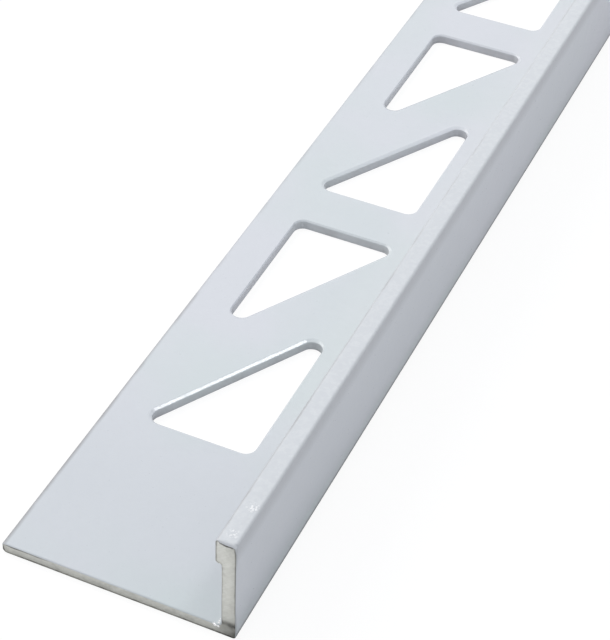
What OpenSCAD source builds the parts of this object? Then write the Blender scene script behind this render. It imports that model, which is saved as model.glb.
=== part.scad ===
// Tile edge trim: an extruded L section with a perforated anchoring leg and a lipped upright leg.
// The stock runs along Y, the upright stands on the +X side, and the trim lies on Z = 0.

/* [Stock] */
// Length of the cut piece
stock_length = 1000; // [150:10:3000]
// Width of the anchoring leg, from its free edge to the outer face of the upright
leg_width = 24.5; // [19:0.5:40]
// Overall height, from the underside to the top of the lip
trim_height = 12.5; // [6:0.5:25]

/* [Walls] */
// Thickness of the anchoring leg
leg_wall = 1.2; // [0.9:0.1:2.5]
// Thickness of the upright leg below the lip
upright_wall = 1.5; // [0.9:0.1:3]

/* [Lip] */
// How far the lip stands in past the inner face of the upright
lip_overhang = 0.6; // [0.6:0.1:3]
// Depth of the lip, from the top down
lip_depth = 3; // [1:0.1:4]

/* [Edges] */
// Radius of the upper corner of the free edge
free_edge_r = 0.2; // [0.1:0.05:0.3]
// Radius of the lower corner of the free edge
free_under_r = 0.5; // [0.1:0.1:0.6]
// Radius of the outer corner under the upright
heel_r = 0.3; // [0.1:0.1:0.8]
// Radius of the fillet between the two legs
root_r = 0.5; // [0.3:0.1:2]
// Radius of the three edges of the lip
lip_edge_r = 0.35; // [0.1:0.05:0.4]
// Radius of the fillet under the lip
lip_root_r = 0.2; // [0.1:0.05:0.4]

/* [Perforation] */
// Width of a triangular hole, across the leg
hole_width = 11.6; // [6:0.1:16]
// Length of a triangular hole, along the leg
hole_length = 18.3; // [8:0.1:40]
// Corner radius of the holes
hole_corner_r = 1.15; // [0.4:0.05:2]
// Solid margin between the free edge and the holes
hole_margin = 4.55; // [2:0.05:10]
// Straight web between two pairs of holes, and the least left solid at the far end
cross_web = 6.4; // [3:0.1:15]
// Slanted web between the two holes of a pair
slanted_web = 6.9; // [3:0.1:15]
// Solid length between the near end and the first hole
first_hole = 20.85; // [5:0.05:60]

/* [Hidden] */
$fn = 48;
cut_over = 1;
cross_over = 0.002;
least_flat = 0.05;
upright_inner = leg_width - upright_wall;
lip_inner = upright_inner - lip_overhang;
lip_under = trim_height - lip_depth;
// The fillet under the lip leaves a flat between itself and the lip's edge
lip_fillet_r = min(lip_root_r, lip_overhang - lip_edge_r - least_flat);
// Slanted side of a hole, between the centres of the corner rounds at its two ends
slant_x = hole_width - 2 * hole_corner_r;
slant_y = hole_length - 2 * hole_corner_r;
slant_length = norm([slant_x, slant_y]);
slant_normal = [-slant_y, slant_x] / slant_length;
// The turned hole of a pair is moved along until the slanted web lies between the two slants
turned_shift = (slanted_web + 2 * hole_corner_r) * slant_length / slant_x;
pair_pitch = turned_shift + hole_length + cross_web;
last_start = stock_length - cross_web - hole_length;
plain_starts = [for (y = [first_hole : pair_pitch : last_start]) y];
turned_starts = [for (y = [first_hole + turned_shift : pair_pitch : last_start]) y];

// Rectangle from the origin, with radii for its corners: lower left, lower right, upper right, upper left
module rounded_bar(size, radii) {
    corners = [[0, 0], [size.x, 0], size, [0, size.y]];
    inwards = [[1, 1], [-1, 1], [-1, -1], [1, -1]];
    difference() {
        square(size);
        for (i = [0 : 3])
            if (radii[i] > 0)
                translate(corners[i] + inwards[i] * radii[i] / 2)
                    square(radii[i], center = true);
    }
    for (i = [0 : 3])
        if (radii[i] > 0)
            translate(corners[i] + inwards[i] * radii[i])
                circle(radii[i]);
}

// Fillet in a corner at the origin, between a wall along -X and one along +Y
module corner_fillet(radius) {
    difference() {
        translate([-radius, 0])
            square(radius);
        translate([-radius, radius])
            circle(radius);
    }
}

// Section across the stock, free edge at X = 0 and underside at Y = 0
module section() {
    rounded_bar([leg_width, leg_wall], [free_under_r, heel_r, 0, free_edge_r]);
    translate([upright_inner, heel_r])
        square([upright_wall, trim_height - heel_r - lip_edge_r]);
    translate([lip_inner, lip_under])
        rounded_bar([leg_width - lip_inner, lip_depth], [lip_edge_r, 0, lip_edge_r, lip_edge_r]);
    translate([upright_inner, leg_wall])
        corner_fillet(root_r);
    translate([upright_inner, lip_under])
        mirror([0, 1])
            corner_fillet(lip_fillet_r);
}

// Right-angled triangle with rounded corners, its right angle at the near end on the upright's side.
// The straight sides lie a hair inside the rounds, so that they cross and don't just touch.
module hole_outline() {
    side = hole_corner_r - cross_over;
    near_left = [hole_corner_r, hole_corner_r];
    near_right = [hole_width - hole_corner_r, hole_corner_r];
    far_right = [hole_width - hole_corner_r, hole_length - hole_corner_r];
    for (centre = [near_left, near_right, far_right])
        translate(centre)
            circle(hole_corner_r);
    polygon([
        near_left - [0, side],
        near_right - [0, side],
        near_right + [side, 0],
        far_right + [side, 0],
        far_right + slant_normal * side,
        near_left + slant_normal * side
    ]);
}

// All holes of the leg, measured from the free edge and the near end
module perforation() {
    for (y = plain_starts)
        translate([hole_margin, y])
            hole_outline();
    for (y = turned_starts)
        translate([hole_margin + hole_width, y + hole_length])
            rotate(180)
                hole_outline();
}

module edge_trim() {
    color([0.84, 0.86, 0.89])
        translate([-leg_width / 2, -stock_length / 2])
            difference() {
                translate([0, stock_length])
                    rotate([90, 0, 0])
                        linear_extrude(stock_length)
                            section();
                translate([0, 0, -cut_over])
                    linear_extrude(leg_wall + 2 * cut_over)
                        perforation();
            }
}

edge_trim();
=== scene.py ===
import math

import bmesh
import bpy
from mathutils import Matrix, Quaternion, Vector, noise


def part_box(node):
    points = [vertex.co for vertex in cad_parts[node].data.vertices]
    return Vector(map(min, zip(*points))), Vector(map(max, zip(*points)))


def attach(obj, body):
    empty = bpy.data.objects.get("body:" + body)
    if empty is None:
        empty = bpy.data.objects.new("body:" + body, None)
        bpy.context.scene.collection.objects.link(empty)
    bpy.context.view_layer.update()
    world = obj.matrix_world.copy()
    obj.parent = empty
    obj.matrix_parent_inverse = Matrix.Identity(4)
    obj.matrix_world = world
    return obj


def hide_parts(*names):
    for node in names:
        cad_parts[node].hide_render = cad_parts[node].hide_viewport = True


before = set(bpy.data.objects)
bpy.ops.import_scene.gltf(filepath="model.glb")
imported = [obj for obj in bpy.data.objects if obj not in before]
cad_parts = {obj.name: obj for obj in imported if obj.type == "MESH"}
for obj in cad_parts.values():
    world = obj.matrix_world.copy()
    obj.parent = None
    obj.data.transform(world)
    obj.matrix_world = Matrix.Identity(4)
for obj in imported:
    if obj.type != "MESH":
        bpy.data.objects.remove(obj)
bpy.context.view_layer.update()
nodeLow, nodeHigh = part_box("edge_trim")
mm = 0.001
stockWidth = (nodeHigh.x - nodeLow.x) / mm
stockLength = (nodeHigh.y - nodeLow.y) / mm
stockHeight = (nodeHigh.z - nodeLow.z) / mm
print("frame loaded: stock of %.1f x %.0f x %.1f mm" % (stockWidth, stockLength, stockHeight))


def inStock(x, y, z):  # point of the frame, from mm off the free edge, the near end and the underside
    return nodeLow + Vector((x, y, z)) * mm


def ramp(value, low, high):  # 0 to 1 between two values
    return max(0, min(1, (value - low) / (high - low)))


# shader maths

noiseMiddle = 0.5  # mean of Blender's noise


class Wire:  # one socket of a shader tree, so that shader maths reads as Python
    def __init__(self, tree, socket=None):
        self.tree = tree
        self.socket = socket

    def node(self, kind, settings=None, sockets=None, out=0):  # settings first, then values or links
        made = self.tree.nodes.new(kind)
        for name, value in (settings or {}).items():
            setattr(made, name, value)
        for name, value in (sockets or {}).items():
            if isinstance(value, Wire):
                self.tree.links.new(value.socket, made.inputs[name])
            else:
                made.inputs[name].default_value = value
        return Wire(self.tree, made.outputs[out]) if len(made.outputs) else None

    def maths(self, operation, first, second):
        return self.node("ShaderNodeMath", {"operation": operation}, {0: first, 1: second})

    def __add__(self, other):
        return self.maths("ADD", self, other)

    def __sub__(self, other):
        return self.maths("SUBTRACT", self, other)

    def __rsub__(self, other):
        return self.maths("SUBTRACT", other, self)

    def __mul__(self, other):
        return self.maths("MULTIPLY", self, other)

    __radd__ = __add__
    __rmul__ = __mul__

    def __abs__(self):
        return self.maths("ABSOLUTE", self, 0)

    def atMost(self, limit):
        return self.maths("MINIMUM", self, limit)

    def fade(self, low, high):  # smooth 0 to 1 between two values
        ends = {"Value": self, "From Min": low, "From Max": high}
        return self.node("ShaderNodeMapRange", {"interpolation_type": "SMOOTHSTEP"}, ends)

    def tint(self, plain, marked):  # from one colour to another as this value goes from 0 to 1
        return self.node("ShaderNodeMix", {"data_type": "RGBA"}, {0: self, 6: plain, 7: marked}, out=2)

    def shade(self, plain, factor):  # from a colour to the same times a factor
        settings = {"data_type": "RGBA", "blend_type": "MULTIPLY"}
        return self.node("ShaderNodeMix", settings, {0: self, 6: plain, 7: factor}, out=2)

    def axis(self, name):  # X, Y or Z of a place
        return self.node("ShaderNodeSeparateXYZ", None, {"Vector": self}, out=name)

    def clouds(self, scale, detail):  # noise at a place, from 0 to 1
        return self.node("ShaderNodeTexNoise", None, {"Vector": self, "Scale": scale, "Detail": detail})

    def distance(self, point):  # from a place to a point
        ends = {0: self, 1: point}
        return self.node("ShaderNodeVectorMath", {"operation": "DISTANCE"}, ends, out="Value")

    def bump(self, height):  # normal of a surface that is raised by this value times a height
        return self.node("ShaderNodeBump", None, {"Strength": 1.0, "Distance": height, "Height": self})


def startMaterial(name):
    material = bpy.data.materials.new(name)
    material.use_nodes = True
    material.node_tree.nodes.clear()
    return material, Wire(material.node_tree)


def finishMaterial(start, sockets):
    surface = start.node("ShaderNodeBsdfPrincipled", None, sockets)
    start.node("ShaderNodeOutputMaterial", None, {"Surface": surface})


def attribute(start, name):
    return start.node("ShaderNodeAttribute", {"attribute_name": name}, out="Fac")


def rgba(colour):
    return (*colour, 1.0)


# powder coat: a noise has its scale per metre and its detail, a span is the part of it that shows,
# and a fade or a rise is where a mark starts and where it ends

coat = {
    "colour": (0.652, 0.670, 0.710),
    "cloudColour": (0.622, 0.666, 0.684),   # faint patches of a thicker or thinner film
    "cloudNoise": (42, 3),
    "cloudSpan": (0.40, 0.64),
    "cloudRise": (1.3 * mm, 2 * mm),        # above the leg only a share of them is left
    "cloudShare": 0.3,
    "legRise": (2 * mm, 6 * mm),            # up to here the tints of the leg reach
    "endTint": (0.917, 0.932, 0.929),       # the leg is a little duller towards the sawn ends
    "endFade": (8.5 * mm, 34 * mm),
    "rootPaintedLight": (1.045, 1.040, 1.030),      # and lighter towards the upright: painted light that lifts the leg out of the upright's shade
    "rootLightFade": (12.75 * mm, 18.25 * mm),   # from the free edge
    "rootLightEnd": (22.25 * mm, 22.95 * mm),
    "lipColour": (0.638, 0.661, 0.688),     # top of the lip, where the trim is handled
    "lipFade": (0.05 * mm, 0.3 * mm),       # down from the top
    "mottleColour": (0.669, 0.692, 0.714),  # patches on the lip
    "mottleNoise": (2200, 3),
    "mottleSpan": (0.42, 0.66),
    "wornAndShadedColour": (0.265, 0.262, 0.270),    # edges where the film is rubbed off, and rounds darkened as painted shade
    "wearNoise": (210, 4),                  # stretches of rubbed edge
    "wearSpan": (0.46, 0.64),
    "wornRoughness": 0.25,
    "endWearAndShade": 1.6,                         # the rubbed and shaded edges are darker near the ends
    "endWearAndShadeFade": (24 * mm, 60 * mm),
    "thinFilmAndShadeColour": (0.318, 0.310, 0.318),    # film over the punched walls of the holes, darkened as painted shade
    "thinShadeShare": 0.8,                       # all over them, and more in patches
    "thinShadePatches": 0.5,
    "grimeAndShadeColour": (0.070, 0.069, 0.066),
    "scuffsAndGlints": [(23.55, 1.3, 0.70), (23.72, 4.9, 0.75)],  # x, y and radius on top of the lip, in mm
    "scuffCore": 0.5,                       # share of the radius that is scuffed most
    # scratched film, lightened to near white, partly as painted glints
    "scuffGlintColour": (0.900, 0.910, 0.920),
    "scuffGlintNoise": (4200, 2),
    "scuffGlintSpan": (0.47, 0.58),
    "scuffHeight": 0.02 * mm,
    "peelNoise": (620, 2),                  # orange peel, twice as high on the lip
    "peelHeight": 0.050 * mm,
    "grainNoise": (3600, 1),                # fine powder grain
    "roughness": 0.30,
    "roughnessSpread": 0.10,
    "rimGloss": 0.14,                       # the film flows smooth round the rims of the holes
    "ior": 1.5,
}


def coatMaterial():
    material, start = startMaterial("powderCoat")
    place = start.node("ShaderNodeTexCoord", out="Object")
    fromEdge = place.axis("X") - nodeLow.x
    fromEnd = nodeHigh.y - abs(place.axis("Y"))
    rise = place.axis("Z")
    fromTop = nodeHigh.z - rise
    onLeg = 1 - rise.fade(*coat["legRise"])
    onLip = 1 - fromTop.fade(*coat["lipFade"])

    lower = 1 - rise.fade(*coat["cloudRise"])
    share = coat["cloudShare"] + (1 - coat["cloudShare"]) * lower
    cloudy = place.clouds(*coat["cloudNoise"]).fade(*coat["cloudSpan"]) * share
    film = cloudy.tint(rgba(coat["colour"]), rgba(coat["cloudColour"]))
    nearEnd = 1 - fromEnd.fade(*coat["endFade"])
    film = (nearEnd * onLeg).shade(film, rgba(coat["endTint"]))
    # painted light: the leg beside the upright is made lighter where the upright shades it
    rootLightMask = (fromEdge.fade(*coat["rootLightFade"]) - fromEdge.fade(*coat["rootLightEnd"])) * (1 - nearEnd)
    film = (rootLightMask * onLeg).shade(film, rgba(coat["rootPaintedLight"]))
    mottle = place.clouds(*coat["mottleNoise"]).fade(*coat["mottleSpan"])
    film = onLip.tint(film, mottle.tint(rgba(coat["lipColour"]), rgba(coat["mottleColour"])))

    rubbed = place.clouds(*coat["wearNoise"]).fade(*coat["wearSpan"])
    nearEndEdges = 1 - fromEnd.fade(*coat["endWearAndShadeFade"])
    # edges darkened by wear and by painted shade
    edge = (attribute(start, "edgeWearAndShade") * (1 + coat["endWearAndShade"] * nearEndEdges)).atMost(1)
    wearAndShade = edge * edge + (edge - edge * edge) * rubbed  # strong edges all along, weak ones in places
    # painted shade on the punched walls, with the thinner film there
    thinAndShaded = attribute(start, "thinFilmAndShade") * (coat["thinShadeShare"] + coat["thinShadePatches"] * rubbed)
    film = thinAndShaded.tint(film, rgba(coat["thinFilmAndShadeColour"]))
    film = wearAndShade.tint(film, rgba(coat["wornAndShadedColour"]))
    # grime and painted shade: along the foot of the outer face, the dark rounds, and the film and cracks at
    # the sawn ends
    film = attribute(start, "grimeAndShade").tint(film, rgba(coat["grimeAndShadeColour"]))
    scuffAndGlintSpots = 0
    for x, y, radius in coat["scuffsAndGlints"]:
        away = place.distance(inStock(x, y, stockHeight))
        scuffAndGlintSpots = scuffAndGlintSpots + (1 - away.fade(coat["scuffCore"] * radius * mm, radius * mm))
    # scratches lightened as painted glints, and raised a little
    scratchesAndGlints = place.clouds(*coat["scuffGlintNoise"]).fade(*coat["scuffGlintSpan"]) * scuffAndGlintSpots
    film = scratchesAndGlints.tint(film, rgba(coat["scuffGlintColour"]))

    peel = place.clouds(*coat["peelNoise"]) * (coat["peelHeight"] * (1 + onLip))
    height = peel + scratchesAndGlints * coat["scuffHeight"]
    grain = place.clouds(*coat["grainNoise"]) - noiseMiddle
    rough = coat["roughness"] + coat["roughnessSpread"] * grain + coat["wornRoughness"] * wearAndShade
    rough = rough - coat["rimGloss"] * attribute(start, "gloss")
    relief = height.bump(1)  # the height is in metres already
    finishMaterial(start, {"Base Color": film, "Roughness": rough, "Normal": relief, "IOR": coat["ior"]})
    return material


# sawn metal: where a darkening has two shares, the second follows the smudges

sawn = {
    "colour": (0.690, 0.690, 0.640),
    "streakColour": (0.760, 0.762, 0.715),
    "streakSpan": (0.40, 0.64),
    "markShare": 0.55,                      # of the saw marks in the streaks, the rest is mottle
    "markNoise": (5200, 3),                 # saw marks, across them
    "markStretch": 0.10,
    "markHeight": 0.008 * mm,
    "sawTilt": math.radians(-50),           # lean of the saw marks, in the plane of the end
    "mottleNoise": (1900, 4),               # patches that blur the saw marks
    "smudgeNoise": (900, 4),
    "smudgeSpan": (0.50, 0.72),
    "smudgeDirt": 0.15,
    "grimeAndShadeColour": (0.050, 0.048, 0.043),
    "crackShadeAndGrime": (0.5, 1.0),                # painted shade and grime along the cracks round the metal
    "heel": (24.2, 0.7),                    # middle of the dark corner under the upright, mm
    "heelFade": (0.345 * mm, 2.3 * mm),
    "heelDark": (0.30, 0.34),
    "bandRise": 1.72 * mm,                  # dark band across the foot of the upright
    "bandFade": (0.075 * mm, 0.50 * mm),    # up and down from its middle
    "bandStart": (22.9 * mm, 23.2 * mm),    # from the free edge
    "bandDark": (0.12, 0.20),
    "underShade": 0.08,                      # painted shade, darker towards the underside
    "underFade": (0, 1.0 * mm),
    "lowerShade": 0.10,                      # painted shade on the lower half of the end
    "lowerFade": (1.5 * mm, 5.5 * mm),
    "outerDark": 0.13,                      # darker on the upright's outer side
    "outerFade": (23.7 * mm, 24.3 * mm),
    "outerRise": (1.0 * mm, 2.5 * mm),
    # near white: painted highlight for the sparkle of the burrs
    "burrHighlightColour": (0.990, 0.990, 0.990),
    "burrGloss": 0.28,
    "roughness": 0.42,
    "roughnessSpread": 0.20,
    "grimeRoughness": 0.3,
    "metallic": 0.85,
}


def sawnMaterial():
    material, start = startMaterial("sawnAluminium")
    place = start.node("ShaderNodeTexCoord", out="Object")
    fromEdge = place.axis("X") - nodeLow.x
    rise = place.axis("Z")
    turned = start.node("ShaderNodeMapping", None, {"Vector": place, "Rotation": (0, sawn["sawTilt"], 0)})
    stretch = (1, 1, sawn["markStretch"])
    stretched = start.node("ShaderNodeMapping", None, {"Vector": turned, "Scale": stretch})
    marks = stretched.clouds(*sawn["markNoise"])
    mottle = place.clouds(*sawn["mottleNoise"])
    smudge = place.clouds(*sawn["smudgeNoise"])
    grimeAndShade = attribute(start, "grimeAndShade")
    burr = attribute(start, "gloss")

    def smudged(name):
        plain, more = sawn[name]
        return plain + more * smudge

    inPlane = start.node("ShaderNodeVectorMath", {"operation": "MULTIPLY"}, {0: place, 1: (1, 0, 1)})
    heelX, heelZ = sawn["heel"]
    corner = inStock(heelX, 0, heelZ)
    corner.y = 0
    heel = 1 - inPlane.distance(corner).fade(*sawn["heelFade"])
    fromBand = abs(rise - sawn["bandRise"])
    band = (1 - fromBand.fade(*sawn["bandFade"])) * fromEdge.fade(*sawn["bandStart"])
    # darkening of the metal: painted shade in the cracks and towards the bottom, real smudges, and a darker
    # heel, band and outer side
    dirtAndShade = grimeAndShade * smudged("crackShadeAndGrime") + sawn["smudgeDirt"] * smudge.fade(*sawn["smudgeSpan"])
    dirtAndShade = dirtAndShade + heel * smudged("heelDark") + band * smudged("bandDark")
    dirtAndShade = dirtAndShade + sawn["underShade"] * (1 - rise.fade(*sawn["underFade"]))
    dirtAndShade = dirtAndShade + sawn["lowerShade"] * (1 - rise.fade(*sawn["lowerFade"]))
    dirtAndShade = dirtAndShade + sawn["outerDark"] * fromEdge.fade(*sawn["outerFade"]) * rise.fade(*sawn["outerRise"])

    streaks = (sawn["markShare"] * marks + (1 - sawn["markShare"]) * mottle).fade(*sawn["streakSpan"])
    metal = streaks.tint(rgba(sawn["colour"]), rgba(sawn["streakColour"]))
    soiledAndShaded = dirtAndShade.tint(metal, rgba(sawn["grimeAndShadeColour"]))
    # the burrs are painted near white as painted highlight
    colour = burr.tint(soiledAndShaded, rgba(sawn["burrHighlightColour"]))
    rough = sawn["roughness"] + sawn["roughnessSpread"] * (marks - noiseMiddle)
    rough = rough + sawn["grimeRoughness"] * grimeAndShade - sawn["burrGloss"] * burr
    shine = sawn["metallic"] * (1 - grimeAndShade) + (1 - sawn["metallic"]) * burr
    relief = marks.bump(sawn["markHeight"])
    finishMaterial(start, {"Base Color": colour, "Roughness": rough, "Metallic": shine, "Normal": relief})
    return material


powderCoat = coatMaterial()
sawnAluminium = sawnMaterial()
print("materials made: powder coat, sawn aluminium")


# section of the stock, in mm from the free edge and the underside, as the solid has it

section = {
    "legWall": 1.2,
    "uprightWall": 1.5,
    "lipOverhang": 0.6,
    "lipDepth": 3.0,
    "freeEdgeR": 0.2,
    "freeUnderR": 0.5,
    "heelR": 0.3,
    "rootR": 0.5,
    "lipEdgeR": 0.35,
    "lipRootR": 0.2,
    "arcSteps": 6,             # segments in a rounded edge
    "support": 0.08,           # flat strip beside a rounded edge, which keeps the flats flat
    "legSupport": 0.30,        # the same on top of the leg, worn towards the free edge
    "spacing": 0.35,           # of the points along a flat, for the chips at the sawn ends
    # rounds darkened partly by real wear and partly as painted shade: the heel and the free edge's
    # underside by the floor, the lip's inner edge in its gap
    "edgeWearAndShade": {"bed": 0.8, "outer": 0.9, "lipInner": 0.23, "lipUnder": 0.2, "freeEdge": 0.40},
    "besideEdge": 0.25,        # wear and painted shade where the leg's top meets the free edge, up to this turn in radians
    "besideTurn": 0.8,
    # soil and painted shade on rounds: the free edge and its underside, and the lip's inner edge
    "edgeSoilAndShade": {"bed": 0.5, "lipInner": 0.05, "freeEdge": 0.12},
    "soilAndShadeSpread": 2,           # soil and painted shade cover more of a round than wear does
    "footShade": 0.80,          # painted shade along the bottom of the outer face, where the floor shades it
    "footTurn": (0.2, 0.6),    # where it starts on the heel's round, in radians
    "footRise": (0.3, 0.75),   # where it ends, and a haze of painted shade goes on
    "hazeShare": 0.14,
    "hazeRise": (0.75, 3.2),
    "topDarkening": 0.20,           # darker along the top of the outer face
    "topRise": (10.0, 11.5),
    "topTurn": (0.2, 1.1),
}


def edgeMarks(side, turn):  # wear and soil, both partly painted shade, on a rounded edge, at a turn from 0 to a right angle
    middle = math.sin(2 * turn)  # 1 in the middle of the round
    wearAndShade = section["edgeWearAndShade"].get(side, 0) * middle
    soilAndShade = section["edgeSoilAndShade"].get(side, 0) * min(1, section["soilAndShadeSpread"] * middle)
    if side == "freeEdge":
        wearAndShade = max(wearAndShade, section["besideEdge"] * (1 - ramp(turn, 0, section["besideTurn"])))
    if side == "outer":
        soilAndShade = section["footShade"] * ramp(turn, *section["footTurn"])
    if side == "lipTop":
        soilAndShade = section["topDarkening"] * (1 - ramp(turn, *section["topTurn"]))
    return wearAndShade, soilAndShade


def outerDarkening(z):  # painted shade at the foot of the outer face, and darker towards its top
    foot = (1 - section["hazeShare"]) * (1 - ramp(z, *section["footRise"]))
    haze = section["hazeShare"] * (1 - ramp(z, *section["hazeRise"]))
    return section["footShade"] * (foot + haze) + section["topDarkening"] * ramp(z, *section["topRise"])


def sectionOutline():  # the outline's points, anticlockwise seen from the near end
    uprightInner = stockWidth - section["uprightWall"]
    lipInner = uprightInner - section["lipOverhang"]
    lipUnder = stockHeight - section["lipDepth"]
    corners = [  # x, z, radius and the flat side that follows
        (0, 0, section["freeUnderR"], "bed"),
        (stockWidth, 0, section["heelR"], "outer"),
        (stockWidth, stockHeight, section["lipEdgeR"], "lipTop"),
        (lipInner, stockHeight, section["lipEdgeR"], "lipInner"),
        (lipInner, lipUnder, section["lipEdgeR"], "lipUnder"),
        (uprightInner, lipUnder, section["lipRootR"], "uprightInner"),
        (uprightInner, section["legWall"], section["rootR"], "legTop"),
        (0, section["legWall"], section["freeEdgeR"], "freeEdge"),
    ]
    points = []
    for i, (x, z, radius, side) in enumerate(corners):
        lastX, lastZ, _, _ = corners[i - 1]
        nextX, nextZ, nextRadius, _ = corners[(i + 1) % len(corners)]
        corner = Vector((x, z))
        arriving = (corner - Vector((lastX, lastZ))).normalized()
        leaving = Vector((nextX, nextZ)) - corner
        flat = leaving.length - radius - nextRadius
        leaving.normalize()
        for step in range(section["arcSteps"] + 1):
            turn = math.pi / 2 * step / section["arcSteps"]
            bend = leaving * (1 - math.cos(turn)) - arriving * (1 - math.sin(turn))
            wearAndShade, soilAndShade = edgeMarks(side, turn)
            points.append({"at": corner + bend * radius, "side": side, "arc": True, "flat": None,
                           "wearAndShade": wearAndShade, "soilAndShade": soilAndShade})
        widest = section["legSupport" if side == "legTop" else "support"]
        support = min(widest, flat / 3)  # a third of a short flat
        count = math.ceil((flat - 2 * support) / section["spacing"])
        for step in range(count + 1):
            at = corner + leaving * (radius + support + (flat - 2 * support) * step / count)
            points.append({"at": at, "side": side, "arc": False, "flat": side if step < count else None,
                           "wearAndShade": 0, "soilAndShade": outerDarkening(at.y) if side == "outer" else 0})
    for i, point in enumerate(points):
        run = points[(i + 1) % len(points)]["at"] - points[i - 1]["at"]
        point["normal"] = Vector((run.y, -run.x)).normalized()
    return points


outline = sectionOutline()
print("section drawn: %d points" % len(outline))


class SliceMesh:  # a length of the stock under construction
    def __init__(self):
        self.bm = bmesh.new()
        self.wearAndShade = self.bm.verts.layers.float.new("edgeWearAndShade")
        self.grimeAndShade = self.bm.verts.layers.float.new("grimeAndShade")
        self.gloss = self.bm.verts.layers.float.new("gloss")
        self.thinAndShaded = self.bm.verts.layers.float.new("thinFilmAndShade")
        self.sawn = self.bm.faces.layers.int.new("sawnFace")

    def vert(self, x, y, z, wearAndShade=0.0, grimeAndShade=0.0, gloss=0.0, thinAndShaded=0.0):
        made = self.bm.verts.new(inStock(x, y, z))
        made[self.wearAndShade] = wearAndShade
        made[self.grimeAndShade] = grimeAndShade
        made[self.gloss] = gloss
        made[self.thinAndShaded] = thinAndShaded
        return made

    def loft(self, first, second, skips=None, sawnFace=0):  # quads between two closed rings
        count = len(first)
        for i in range(count):
            if skips and skips[i]:
                continue
            k = (i + 1) % count
            face = self.bm.faces.new((first[i], second[i], second[k], first[k]))
            face[self.sawn] = sawnFace

    def edges(self, ring):  # of a closed ring
        pairs = zip(ring, ring[1:] + ring[:1])
        return [self.bm.edges.get(pair) or self.bm.edges.new(pair) for pair in pairs]

    def fill(self, edges, normal, sawnFace=0):  # flat face, with holes where the edges make them
        made = bmesh.ops.triangle_fill(self.bm, use_beauty=True, edges=edges, normal=normal)
        for face in made["geom"]:
            if isinstance(face, bmesh.types.BMFace):
                face[self.sawn] = sawnFace

    def ring(self, y):  # the section at one place along the stock
        return [self.vert(p["at"].x, y, p["at"].y, p["wearAndShade"], p["soilAndShade"]) for p in outline]

    def toObject(self, name):
        mesh = bpy.data.meshes.new(name)
        self.bm.to_mesh(mesh)
        self.bm.free()
        made = bpy.data.objects.new(name, mesh)
        bpy.context.scene.collection.objects.link(made)
        return made


# triangular holes, in mm

holes = {
    "width": 11.6,
    "length": 18.3,
    "cornerR": 1.15,
    "margin": 4.55,                 # from the free edge
    "crossWeb": 6.4,
    "slantedWeb": 6.9,
    "first": 20.85,                 # from the near end
    "stepAngle": 11,                # degrees of a corner's round in one segment
    "rollSlope": math.radians(24),  # the punch rolls the rim in: a slanted flat between two rounds
    "rollFlat": 0.317,
    "rollUpperR": 0.135,
    "rollLowerR": 0.050,
    "rollSteps": (2, 3),            # segments in the upper and the lower round
    "rollSupport": 0.027,           # strip at either end of the flat, which keeps it flat
    "sideRoll": 0.28,               # the rims along and across the stock are rolled less
    "crossRoll": 0.50,
    "wallFrom": 0.33,               # the film lies thinner on the punched wall from here down, painted darker there as painted shade
    "wallThinAndShade": 0.36,
    "edgeThinAndShade": 0.468,              # and thinner and darker still at its lower edge
    "shearDepth": 0.75,             # smooth part of the wall, then it breaks away
    "breakout": 0.03,
    "support": 0.12,
}
slantX = holes["width"] - 2 * holes["cornerR"]
slantY = holes["length"] - 2 * holes["cornerR"]
slantLength = math.hypot(slantX, slantY)
slantAngle = 90 + math.degrees(math.atan2(slantY, slantX))  # the way the slanted side faces, in degrees
turnedShift = (holes["slantedWeb"] + 2 * holes["cornerR"]) * slantLength / slantX
pairPitch = turnedShift + holes["length"] + holes["crossWeb"]
lastStart = stockLength - holes["crossWeb"] - holes["length"]
plainCount = int((lastStart - holes["first"]) / pairPitch) + 1
pairCount = int((lastStart - holes["first"] - turnedShift) / pairPitch) + 1  # whole pairs
pairsFrom = holes["first"] - holes["crossWeb"] / 2  # in the middle of a straight web
pairsTo = pairsFrom + pairCount * pairPitch


def holeRing(start, turned, spread):  # rounded right-angled triangle, grown by a spread
    inset = holes["cornerR"]
    arcs = [
        (inset, inset, slantAngle, 270),
        (holes["width"] - inset, inset, 270, 360),
        (holes["width"] - inset, holes["length"] - inset, 0, slantAngle),
    ]
    ring = []
    for x, y, low, high in arcs:
        steps = round((high - low) / holes["stepAngle"])
        for step in range(steps + 1):
            angle = math.radians(low + (high - low) * step / steps)
            along = max(0, math.cos(angle)) ** 2
            across = max(0, -math.sin(angle)) ** 2
            less = (1 - holes["sideRoll"]) * along + (1 - holes["crossRoll"]) * across
            radius = inset + spread * (1 - less)
            ring.append((x + radius * math.cos(angle), y + radius * math.sin(angle)))
    if turned:
        ring = [(holes["width"] - x, holes["length"] - y) for x, y in ring]
    return [(holes["margin"] + x, start + y) for x, y in ring]


def rimProfile():  # width beyond the hole and drop below the leg's top, from the flat leg to the wall
    slope = holes["rollSlope"]
    upper, lower = holes["rollUpperR"], holes["rollLowerR"]
    upperSteps, lowerSteps = holes["rollSteps"]
    width = upper * math.sin(slope) + holes["rollFlat"] * math.cos(slope) + lower * (1 - math.sin(slope))
    drop = upper * (1 - math.cos(slope)) + holes["rollFlat"] * math.sin(slope)
    profile = []
    for step in range(upperSteps + 1):
        angle = slope * step / upperSteps
        profile.append((width - upper * math.sin(angle), upper * (1 - math.cos(angle))))
    flatWidth, flatDrop = profile[-1]
    for run in (holes["rollSupport"], holes["rollFlat"] - holes["rollSupport"]):
        profile.append((flatWidth - run * math.cos(slope), flatDrop + run * math.sin(slope)))
    for step in range(lowerSteps + 1):
        angle = slope + (math.pi / 2 - slope) * step / lowerSteps
        profile.append((lower * (1 - math.sin(angle)), drop + lower * (math.cos(slope) - math.cos(angle))))
    return profile


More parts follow.
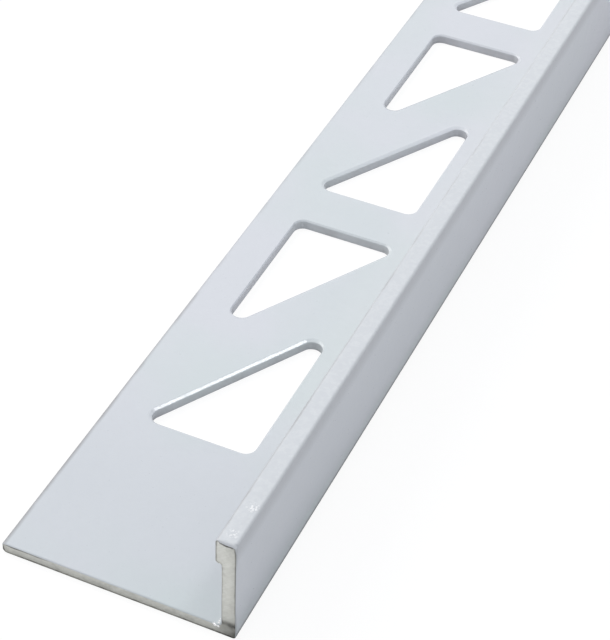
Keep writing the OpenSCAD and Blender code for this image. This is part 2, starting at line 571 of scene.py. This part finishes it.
def addHole(mesh, start, turned):  # punched wall with its rolled rim; gives its top and bottom rings
    top = section["legWall"]
    rim = rimProfile()
    levels = [(rim[0][0] + holes["support"], top, 0, 0)]  # spread, height, gloss, and thin film with painted shade
    levels += [(spread, top - drop, 1, 0) for spread, drop in rim]
    levels.append((0, top - holes["wallFrom"], 0, holes["wallThinAndShade"]))
    levels.append((0, top - holes["shearDepth"], 0, holes["wallThinAndShade"]))
    levels.append((holes["breakout"], 0, 0, holes["edgeThinAndShade"]))
    levels.append((holes["breakout"] + holes["support"], 0, 0, 0))
    rings = []
    for spread, z, gloss, thinAndShaded in levels:
        rings.append([mesh.vert(x, y, z, 0, 0, gloss, thinAndShaded) for x, y in holeRing(start, turned, spread)])
    for upper, lower in zip(rings, rings[1:]):
        mesh.loft(upper, lower)
    return rings[0], rings[-1]


def addLength(mesh, near, far, holeStarts):  # the section from one ring to the other, with holes in the leg
    flats = [point["flat"] if holeStarts else None for point in outline]
    mesh.loft(near, far, [flat in ("legTop", "bed") for flat in flats])
    if not holeStarts:
        return
    rims = [addHole(mesh, start, turned) for start, turned in holeStarts]
    for side, up in (("legTop", 1), ("bed", -1)):
        first = flats.index(side)
        last = first + flats.count(side) + 1
        edges = mesh.edges(near[first:last] + far[first:last][::-1])
        for topRing, bottomRing in rims:
            edges += mesh.edges(topRing if up > 0 else bottomRing)
        mesh.fill(edges, Vector((0, 0, up)))


# sawn ends, in mm

cut = {
    "inset": 0.03,               # the ends are this much short, which leaves room for the burrs
    "film": {                    # how far the film folds over the cut
        "bed": 0.03, "outer": 0.05, "lipTop": 0.36, "lipInner": 0.05,
        "lipUnder": 0.05, "uprightInner": 0.08, "legTop": 0.13, "freeEdge": 0.06,
    },
    "lift": {                    # how far it has come off the metal
        "bed": 0.45, "outer": 0.58, "lipTop": 1.7, "lipInner": 0.28,
        "lipUnder": 0.22, "uprightInner": 0.06, "legTop": 0.05, "freeEdge": 0.04,
    },
    "cornerLift": {"lipTop": 0.05, "lipInner": 2.5},  # times this on these rounds
    "outerLift": (0.22, 0.65, 1.0),                   # and on the outer face at its foot, middle and top
    "outerLiftRise": [(1.4, 3.0), (8.125, 11.25)],    # heights over which that changes
    "tipLift": 0.70,             # more on top of the leg near its free edge, over this width
    "tipWidth": (3.12, 5.2),
    "chipScale": 2.1,            # chips along the edge, per mm
    "chipSeeds": (3.1, 8.7),     # at the near and the far end
    "filmChips": 0.5,            # how much the chips change the fold and the lift
    "liftChips": 0.9,
    "chipBlur": 2,               # neighbours on either side that fold and lift are averaged over
    "soilAndShadeBlur": 1,               # and the grime and painted shade on the film
    # round of the film over the edge: share of its fold, depth, and more depth for each mm of fold
    "fold": [(0, 0.03, 0.85), (0.2, 0.02, 0.35), (0.6, 0.015, 0.06), (1, 0.012, 0)],
    "soiledAndShaded": {"bed": 0.40, "freeEdge": 0.10},  # grime and painted shade on the film itself
    "soiledAndShadedOuter": (0.45, 0.28),  # at the foot of the outer face and at its top
    "soiledAndShadedFoot": (1.5, 4.0),
    "soiledAndShadedTop": (9.0, 11.0),
    "crack": 0.17,               # widest dark crack between film and metal
    "crackFloor": 0.4,           # share of the crack at which it is deepest
    "crackDepth": 0.13,
    "metalGap": 0.01,            # between film and metal where there is no crack
    "metalGrimeAndShade": 0.8,           # share of the crack's grime and painted shade on the edge of the metal
    "dirtyAndShadedEdge": 0.12,           # width of the soiled and shaded strip of metal along a crack
    "sawDepth": 0.05,            # depth of the bare metal
    "run": 0.30,                 # length of stock that the cut disturbs
    "crumbs": [                  # burrs left in the corner: x, z and radius
        (22.38, 0.95, 0.19), (22.72, 0.90, 0.13), (22.20, 1.06, 0.08),
        (22.78, 1.45, 0.11), (22.86, 1.75, 0.09), (22.95, 2.08, 0.06),
    ],
    "crumbFlat": 0.35,           # how thick they are for their width
    "crumbGap": 0.005,           # how deep they lie, and more by a share of their thickness
    "crumbSink": 0.7,
    "crumbLump": 0.4,            # how lumpy they are
    "crumbLumpScale": 1.6,
    "crumbSpread": 9,            # keeps the lumps of one crumb unlike the next one's
}


def smoothRing(values, reach):  # mean over neighbours along the outline
    count = len(values)
    span = range(-reach, reach + 1)
    return [sum(values[(i + k) % count] for k in span) / len(span) for i in range(count)]


def addCrumb(mesh, x, y, inwards, z, radius):  # a flat lump at the end
    thick = cut["crumbFlat"]
    depth = cut["crumbGap"] + cut["crumbSink"] * thick * radius
    at = inStock(x, y + inwards * depth, z)
    squash = Matrix.Translation(at) @ Matrix.Diagonal((1, thick, 1, 1))
    made = bmesh.ops.create_icosphere(mesh.bm, subdivisions=2, radius=radius * mm, matrix=squash)
    seed = Vector((x, z, 0)) * cut["crumbSpread"]
    for vert in made["verts"]:
        lump = noise.noise((vert.co - at) * cut["crumbLumpScale"] / (radius * mm) + seed)
        vert.co = at + (vert.co - at) * (1 + cut["crumbLump"] * ramp(lump, -1, 1))
        vert[mesh.gloss] = 1
        for face in vert.link_faces:
            face[mesh.sawn] = 1


def filmLift(point):  # how far the film has come off at a point of the outline
    x, z = point["at"]
    side = point["side"]
    lifted = cut["lift"][side]
    if side == "outer":
        foot, middle, top = cut["outerLift"]
        lower, upper = cut["outerLiftRise"]
        return lifted * (foot + (middle - foot) * ramp(z, *lower) + (top - middle) * ramp(z, *upper))
    if point["arc"]:
        lifted *= cut["cornerLift"].get(side, 1)
    if side == "legTop":
        lifted += cut["tipLift"] * (1 - ramp(x, *cut["tipWidth"]))
    return lifted


def filmSoilAndShade(point):  # grime and painted shade on the film at a point of the outline
    if point["side"] != "outer":
        return cut["soiledAndShaded"].get(point["side"], 0)
    foot, top = cut["soiledAndShadedOuter"]
    z = point["at"].y
    return foot * (1 - ramp(z, *cut["soiledAndShadedFoot"])) + top * ramp(z, *cut["soiledAndShadedTop"])


def addSawnEnd(mesh, y, inwards, seed):  # bare metal inside a chipped rim of film; gives the ring behind it
    film = []
    lift = []
    for point in outline:
        x, z = point["at"]
        chip = noise.noise(Vector((x, seed, z)) * cut["chipScale"])
        film.append(cut["film"][point["side"]] * (1 + cut["filmChips"] * chip))
        lift.append(ramp(filmLift(point) * (1 + cut["liftChips"] * chip), 0, 1))
    film = smoothRing(film, cut["chipBlur"])
    lift = smoothRing(lift, cut["chipBlur"])
    soiledAndShaded = smoothRing([filmSoilAndShade(point) for point in outline], cut["soilAndShadeBlur"])

    def ring(inset, depth, grimeAndShade, wearAndShade):
        made = []
        for i, point in enumerate(outline):
            at = point["at"] - point["normal"] * inset[i]
            made.append(mesh.vert(at.x, y + inwards * depth[i], at.y, wearAndShade[i], grimeAndShade[i]))
        return made

    def every(value):
        return [value] * len(outline)

    wearAndShade = [point["wearAndShade"] for point in outline]
    soilAndShade = [point["soilAndShade"] for point in outline]
    dirtyAndShaded = [max(pair) for pair in zip(soilAndShade, soiledAndShaded)]
    none = every(0)
    saw = every(cut["sawDepth"])
    crack = [f + cut["crackFloor"] * cut["crack"] * k for f, k in zip(film, lift)]
    crackDepth = [cut["sawDepth"] + cut["crackDepth"] * k for k in lift]
    metal = [f + cut["metalGap"] + cut["crack"] * k for f, k in zip(film, lift)]
    rings = [ring(none, every(cut["run"]), soilAndShade, wearAndShade)]
    for i, (share, depth, slope) in enumerate(cut["fold"]):
        inset = [share * f for f in film]
        depths = [depth + slope * f for f in film]
        rings.append(ring(inset, depths, soiledAndShaded if i else dirtyAndShaded, none if i else wearAndShade))
    # the crack and the metal's edge are darkened by the lift: painted shade in the gap, with grime
    rings.append(ring(crack, crackDepth, lift, none))
    rings.append(ring(metal, saw, [cut["metalGrimeAndShade"] * k for k in lift], none))
    rings.append(ring([m + cut["dirtyAndShadedEdge"] for m in metal], saw, none, none))
    for i, (outer, inner) in enumerate(zip(rings, rings[1:])):
        pair = (inner, outer) if inwards > 0 else (outer, inner)
        mesh.loft(*pair, sawnFace=int(i >= len(cut["fold"])))
    mesh.fill(mesh.edges(rings[-1]), Vector((0, -inwards, 0)), sawnFace=1)
    return rings[0]


def endLengths():  # both ends of the stock: plain at the near end, up to one last hole at the far end
    mesh = SliceMesh()
    nearEnd = cut["inset"]
    farEnd = stockLength - cut["inset"]
    nearSeed, farSeed = cut["chipSeeds"]
    nearCut = addSawnEnd(mesh, nearEnd, 1, nearSeed)
    addLength(mesh, nearCut, mesh.ring(pairsFrom), [])
    farCut = addSawnEnd(mesh, farEnd, -1, farSeed)
    lastHoles = [(holes["first"] + i * pairPitch, False) for i in range(pairCount, plainCount)]
    addLength(mesh, mesh.ring(pairsTo), farCut, lastHoles)
    for x, z, radius in cut["crumbs"]:  # last, because adding them renews the mesh's other points
        addCrumb(mesh, x, nearEnd, 1, z, radius)
        addCrumb(mesh, x, farEnd, -1, z, radius)
    return mesh.toObject("edgeTrim")


def pairLength():  # the length of stock that repeats, with one hole of each kind
    mesh = SliceMesh()
    pair = [(holes["first"], False), (holes["first"] + turnedShift, True)]
    addLength(mesh, mesh.ring(pairsFrom), mesh.ring(pairsFrom + pairPitch), pair)
    return mesh.toObject("pairLength")


# the whole trim: the ends, and the pairs of holes repeated along the stock

trim = {
    "weld": 0.002 * mm,
    "sharpAngle": math.radians(38),
}


def repeatTree():
    tree = bpy.data.node_groups.new("perforatedStock", "GeometryNodeTree")
    tree.is_modifier = True
    inputs = {
        "Ends": "NodeSocketGeometry",
        "Pair": "NodeSocketObject",
        "Pairs": "NodeSocketInt",
        "Pitch": "NodeSocketFloat",
        "Weld": "NodeSocketFloat",
        "Coat": "NodeSocketMaterial",
        "Sawn": "NodeSocketMaterial",
    }
    for name, kind in inputs.items():
        tree.interface.new_socket(name, in_out="INPUT", socket_type=kind)
    tree.interface.new_socket("Stock", in_out="OUTPUT", socket_type="NodeSocketGeometry")

    def node(kind, settings=None, **links):
        made = tree.nodes.new(kind)
        for name, value in (settings or {}).items():
            setattr(made, name, value)
        for name, value in links.items():
            if isinstance(value, bpy.types.NodeSocket):
                tree.links.new(value, made.inputs[name])
            else:
                made.inputs[name].default_value = value
        return made.outputs

    given = node("NodeGroupInput")
    pair = node("GeometryNodeObjectInfo", {"transform_space": "ORIGINAL"}, Object=given["Pair"])
    step = node("ShaderNodeCombineXYZ", Y=given["Pitch"])
    line = node("GeometryNodeMeshLine", {"mode": "OFFSET"}, Count=given["Pairs"], Offset=step["Vector"])
    row = node("GeometryNodeInstanceOnPoints", Points=line["Mesh"], Instance=pair["Geometry"])
    joined = tree.nodes.new("GeometryNodeJoinGeometry")
    tree.links.new(given["Ends"], joined.inputs[0])
    tree.links.new(row["Instances"], joined.inputs[0])
    real = node("GeometryNodeRealizeInstances", Geometry=joined.outputs[0])
    welded = node("GeometryNodeMergeByDistance", Geometry=real["Geometry"], Distance=given["Weld"])
    coated = node("GeometryNodeSetMaterial", Geometry=welded["Geometry"], Material=given["Coat"])
    bare = node("GeometryNodeInputNamedAttribute", {"data_type": "INT"}, Name="sawnFace")
    ended = node("GeometryNodeSetMaterial", Geometry=coated["Geometry"], Selection=bare["Attribute"],
                 Material=given["Sawn"])
    node("NodeGroupOutput", Stock=ended["Geometry"])
    return tree


def setInputs(modifier, values):  # by the sockets' identifiers
    for item in modifier.node_group.interface.items_tree:
        if item.in_out == "INPUT" and item.name in values:
            modifier[item.identifier] = values[item.name]


def finishMesh(piece):  # smooth with sharp edges, all faces outwards
    bm = bmesh.new()
    bm.from_mesh(piece.data)
    bmesh.ops.recalc_face_normals(bm, faces=bm.faces)
    openEdges = sum(len(edge.link_faces) != 2 for edge in bm.edges)
    for face in bm.faces:
        face.smooth = True
    bm.to_mesh(piece.data)
    bm.free()
    piece.data.set_sharp_from_angle(angle=trim["sharpAngle"])
    triangles = sum(len(face.vertices) - 2 for face in piece.data.polygons)
    print("%s: %d triangles, %d open edges" % (piece.name, triangles, openEdges))


def makeTrim():
    piece = endLengths()
    pair = pairLength()
    repeat = piece.modifiers.new("repeat", "NODES")
    repeat.node_group = repeatTree()
    setInputs(repeat, {"Pair": pair, "Pairs": pairCount, "Pitch": pairPitch * mm, "Weld": trim["weld"],
                       "Coat": powderCoat, "Sawn": sawnAluminium})
    made = piece.evaluated_get(bpy.context.evaluated_depsgraph_get())
    piece.data = bpy.data.meshes.new_from_object(made)
    piece.modifiers.clear()
    bpy.data.objects.remove(pair)
    finishMesh(piece)
    return piece


edgeTrim = makeTrim()
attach(edgeTrim, "root")
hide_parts("edge_trim")
print("trim made: %d holes" % (plainCount + pairCount))


# floor, light and camera

studio = {
    "floorSize": 8.0,
    "floorDrop": 0.02 * mm,               # below the trim
    "floorGrey": (0.80, 0.80, 0.80),      # as the trim sees it
    "floorShown": (0.15, 0.15, 0.15),     # as the camera sees it, with the lift added
    "floorLift": 0.87,                    # white outside the shadow
    "skyLowColour": (0.990, 0.980, 1.045),
    "skyHighColour": (0.953, 0.988, 1.030),
    "skyShown": (1, 1, 1),                # as the camera and reflections see it
    "skyLow": 0.335,                      # light from the horizon
    "skyHigh": 0.54,                      # more towards the top
    "skySlant": (0.13, 0.08, 0),          # and more from the upright's side and the far end
    "keyFrom": (-0.75, 0.12, 0.65),       # large softbox on the free edge's side, seen from the first hole
    "keyShape": "SQUARE",
    "keyDistance": 0.75,
    "keySize": 0.6,
    "keyPower": 2.8,
    "keyColour": (1.03, 1.01, 0.97),
    "accentFrom": (0.300, 0.304, 0.904),  # small softbox on the upright's side
    "accentShape": "DISK",
    "accentDistance": 0.32,
    "accentSize": 0.048,
    "accentPower": 0.091,
    "accentColour": (1, 1, 1),
}


def rays(start, *kinds):  # 1 for what rays of these kinds see
    path = start.node("ShaderNodeLightPath").socket.node
    return sum(Wire(start.tree, path.outputs["Is %s Ray" % kind]) for kind in kinds).fade(0, 1)


def addFloor():
    material, start = startMaterial("paleFloor")
    white = rays(start, "Camera")
    grey = white.tint(rgba(studio["floorGrey"]), rgba(studio["floorShown"]))
    base = start.node("ShaderNodeBsdfDiffuse", None, {"Color": grey})
    lift = start.node("ShaderNodeEmission", None, {"Strength": studio["floorLift"] * white})
    both = start.node("ShaderNodeAddShader", None, {0: base, 1: lift})
    start.node("ShaderNodeOutputMaterial", None, {"Surface": both})
    half = studio["floorSize"] / 2
    ground = nodeLow.z - studio["floorDrop"]
    mesh = bpy.data.meshes.new("floor")
    corners = [(-half, -half, ground), (half, -half, ground), (half, half, ground), (-half, half, ground)]
    mesh.from_pydata(corners, [], [(0, 1, 2, 3)])
    mesh.materials.append(material)
    floor = bpy.data.objects.new("floor", mesh)
    bpy.context.scene.collection.objects.link(floor)


def addSky():
    world = bpy.data.worlds.new("softSky")
    world.use_nodes = True
    world.node_tree.nodes.clear()
    start = Wire(world.node_tree)
    towards = start.node("ShaderNodeTexCoord", out="Generated")
    rise = towards.axis("Z").fade(0, 1)
    white = rays(start, "Camera", "Glossy", "Transmission")
    aside = start.node("ShaderNodeVectorMath", {"operation": "DOT_PRODUCT"},
                       {0: towards, 1: studio["skySlant"]}, out="Value")
    strength = white + (1 - white) * (studio["skyLow"] + studio["skyHigh"] * rise) * (1 + aside)
    colour = rise.tint(rgba(studio["skyLowColour"]), rgba(studio["skyHighColour"]))
    colour = white.tint(colour, rgba(studio["skyShown"]))
    sky = start.node("ShaderNodeBackground", None, {"Color": colour, "Strength": strength})
    start.node("ShaderNodeOutputWorld", None, {"Surface": sky})
    bpy.context.scene.world = world


def addLamp(name):  # aimed at the middle of the first hole
    holeX = holes["margin"] + holes["width"] / 2
    holeY = holes["first"] + holes["length"] / 2
    towards = Vector(studio[name + "From"]).normalized()
    data = bpy.data.lights.new(name, "AREA")
    data.shape = studio[name + "Shape"]
    data.size = studio[name + "Size"]
    data.energy = studio[name + "Power"]
    data.color = studio[name + "Colour"]
    lamp = bpy.data.objects.new(name, data)
    lamp.location = inStock(holeX, holeY, section["legWall"]) + towards * studio[name + "Distance"]
    lamp.rotation_mode = "QUATERNION"
    lamp.rotation_quaternion = (-towards).to_track_quat("-Z", "Y")
    lamp.visible_camera = False
    bpy.context.scene.collection.objects.link(lamp)


view = {
    "from": (73.7, -104.1, 140.05),  # mm from the near end of the free edge
    "turn": math.radians(22.76),     # to the free edge's side of straight ahead
    "down": math.radians(41.27),
    "roll": math.radians(2.45),
    "lens": 110.4,                   # on this sensor, along the longer side of the picture
    "sensor": 36,
    "clipStart": 0.01,
}


def addCamera():
    data = bpy.data.cameras.new("view")
    data.lens = view["lens"]
    data.sensor_width = view["sensor"]
    data.clip_start = view["clipStart"]
    camera = bpy.data.objects.new("view", data)
    camera.location = inStock(*view["from"])
    level = math.cos(view["down"])
    aside = -math.sin(view["turn"]) * level
    along = math.cos(view["turn"]) * level
    ahead = Vector((aside, along, -math.sin(view["down"])))
    camera.rotation_mode = "QUATERNION"
    camera.rotation_quaternion = ahead.to_track_quat("-Z", "Y") @ Quaternion((0, 0, 1), view["roll"])
    bpy.context.scene.collection.objects.link(camera)
    bpy.context.scene.camera = camera


addFloor()
addSky()
addLamp("key")
addLamp("accent")
addCamera()
bpy.context.scene.view_settings.view_transform = "Standard"
print("floor, light and camera set")
